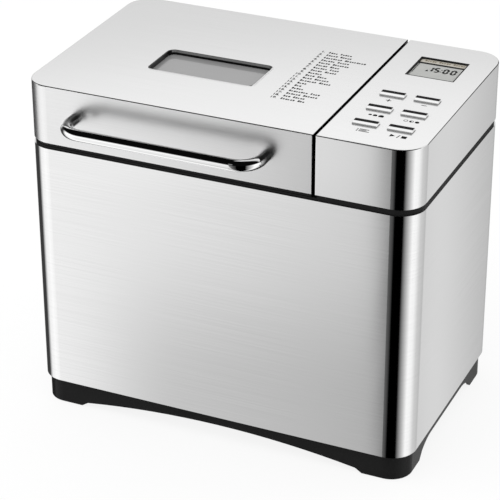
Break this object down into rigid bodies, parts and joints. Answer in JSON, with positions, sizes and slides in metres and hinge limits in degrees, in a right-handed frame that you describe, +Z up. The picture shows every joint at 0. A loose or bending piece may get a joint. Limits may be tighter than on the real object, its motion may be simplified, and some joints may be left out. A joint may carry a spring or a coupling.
{
  "type": "bread machine",
  "caption": "Countertop bread machine with a brushed steel body, hinged lid with window and bar handle, push buttons, display, and a bread pan with a driven kneading paddle.",
  "frame": {"origin": "middle of the bounding box at the level the feet stand on", "axes": "+X to the control side, on the right seen from the front, +Y to the rear, +Z up"},
  "size_m": [0.36, 0.2566, 0.3194],
  "materials": {
    "brushed_steel": "horizontal brushed stainless sheet",
    "gloss_black": "glossy black moulding",
    "matte_black": "fine matt black moulding",
    "chrome": "polished chrome plate",
    "window_glass": "tinted flat glass",
    "clear_lens": "clear flat pane",
    "black_rubber": "matt rubber",
    "grey_silicone": "satin silicone",
    "zinc_steel": "bright zinc plate",
    "oven_steel": "dull aluminised sheet",
    "pan_coating": "dark grey non-stick coating",
    "cast_aluminium": "as-cast aluminium",
    "bronze": "sintered bronze",
    "shaft_steel": "ground steel",
    "heater_sheath": "dark oxidised sheath",
    "laminations": "stacked electrical sheet",
    "circuit_board": "green laminate",
    "lcd_grey": "grey liquid crystal glass",
    "dark_plastic": "dark grey moulding"
  },
  "bodies": {
    "housing": {"base_tray": "gloss_black", "rubber_feet": "black_rubber", "case_screws": "zinc_steel", "wrap_shell": "brushed_steel", "rear_panel": "matte_black", "cord_gland": "matte_black", "deck_frame": "matte_black", "hinge_pins": "zinc_steel", "control_housing": "matte_black", "control_cover": "brushed_steel", "display_bezel": "matte_black", "display_lens": "clear_lens", "display_module": "lcd_grey", "control_board": "circuit_board", "button_switches": "dark_plastic", "baking_chamber": "oven_steel", "heating_element": "heater_sheath", "heater_clips": "zinc_steel", "temperature_sensor": "shaft_steel", "thermal_cutout": "dark_plastic", "pan_seat": "cast_aluminium", "bearing_housing": "cast_aluminium", "bearing_bushes": "bronze", "chassis_plate": "zinc_steel", "chassis_screws": "zinc_steel", "drive_belt": "black_rubber", "motor_stator": "laminations", "motor_end_bells": "cast_aluminium", "motor_grommets": "black_rubber", "run_capacitor": "dark_plastic", "power_board": "circuit_board"},
    "lid": {"lid_skin": "brushed_steel", "lid_frame": "matte_black", "lid_liner": "oven_steel", "window_trim": "chrome", "window_glass": "window_glass", "window_gasket": "grey_silicone", "lid_seal": "grey_silicone", "lid_handle": "chrome", "lid_screws": "zinc_steel"},
    "kneader": {"pan_shaft": "shaft_steel", "pan_dog": "cast_aluminium", "kneading_paddle": "pan_coating", "drive_dog": "cast_aluminium", "drive_shaft": "shaft_steel", "drive_pulley": "cast_aluminium"},
    "motor": {"motor_rotor": "shaft_steel", "motor_pulley": "cast_aluminium"},
    "pan": {"bread_pan": "pan_coating", "pan_base_ring": "cast_aluminium", "pan_bush": "bronze", "pan_shaft_seal": "grey_silicone"},
    "bail": {"pan_bail": "zinc_steel"},
    "time_up_button": {"time_up_button": "chrome"},
    "loaf_size_button": {"loaf_size_button": "chrome"},
    "menu_button": {"menu_button": "chrome"},
    "time_down_button": {"time_down_button": "chrome"},
    "crust_button": {"crust_button": "chrome"},
    "start_stop_button": {"start_stop_button": "chrome"}
  },
  "joints": [
    {"name": "lid_hinge", "type": "hinge", "parent": "housing", "child": "lid", "pos_m": [-0.0455, 0.12147, 0.268], "axis": [-1, 0, 0], "range_deg": [0, 85]},
    {"name": "kneader_spin", "type": "hinge", "parent": "housing", "child": "kneader", "pos_m": [-0.0455, 0.01512, 0.09], "axis": [0, 0, 1], "continuous": true},
    {"name": "motor_spin", "type": "hinge", "parent": "housing", "child": "motor", "pos_m": [0.124, -0.00487, 0.09], "axis": [0, 0, 1], "continuous": true},
    {"name": "pan_twist", "type": "hinge", "parent": "housing", "child": "pan", "pos_m": [-0.0455, 0.01512, 0.098], "axis": [0, 0, 1], "range_deg": [0, 12]},
    {"name": "bail_swing", "type": "hinge", "parent": "pan", "child": "bail", "pos_m": [-0.0455, 0.01512, 0.227], "axis": [-1, 0, 0], "range_deg": [0, 163]},
    {"name": "time_up_press", "type": "slide", "parent": "housing", "child": "time_up_button", "axis": [0, 0, -1], "range_m": [0, 0.0012], "stiffness_N_per_m": 250, "springref_m": -0.003},
    {"name": "loaf_size_press", "type": "slide", "parent": "housing", "child": "loaf_size_button", "axis": [0, 0, -1], "range_m": [0, 0.0012], "stiffness_N_per_m": 250, "springref_m": -0.003},
    {"name": "menu_press", "type": "slide", "parent": "housing", "child": "menu_button", "axis": [0, 0, -1], "range_m": [0, 0.0012], "stiffness_N_per_m": 250, "springref_m": -0.003},
    {"name": "time_down_press", "type": "slide", "parent": "housing", "child": "time_down_button", "axis": [0, 0, -1], "range_m": [0, 0.0012], "stiffness_N_per_m": 250, "springref_m": -0.003},
    {"name": "crust_press", "type": "slide", "parent": "housing", "child": "crust_button", "axis": [0, 0, -1], "range_m": [0, 0.0012], "stiffness_N_per_m": 250, "springref_m": -0.003},
    {"name": "start_stop_press", "type": "slide", "parent": "housing", "child": "start_stop_button", "axis": [0, 0, -1], "range_m": [0, 0.0012], "stiffness_N_per_m": 250, "springref_m": -0.003}
  ],
  "couplings": [
    {"joint": "motor_spin", "follows": "kneader_spin", "ratio": 6.5714}
  ]
}
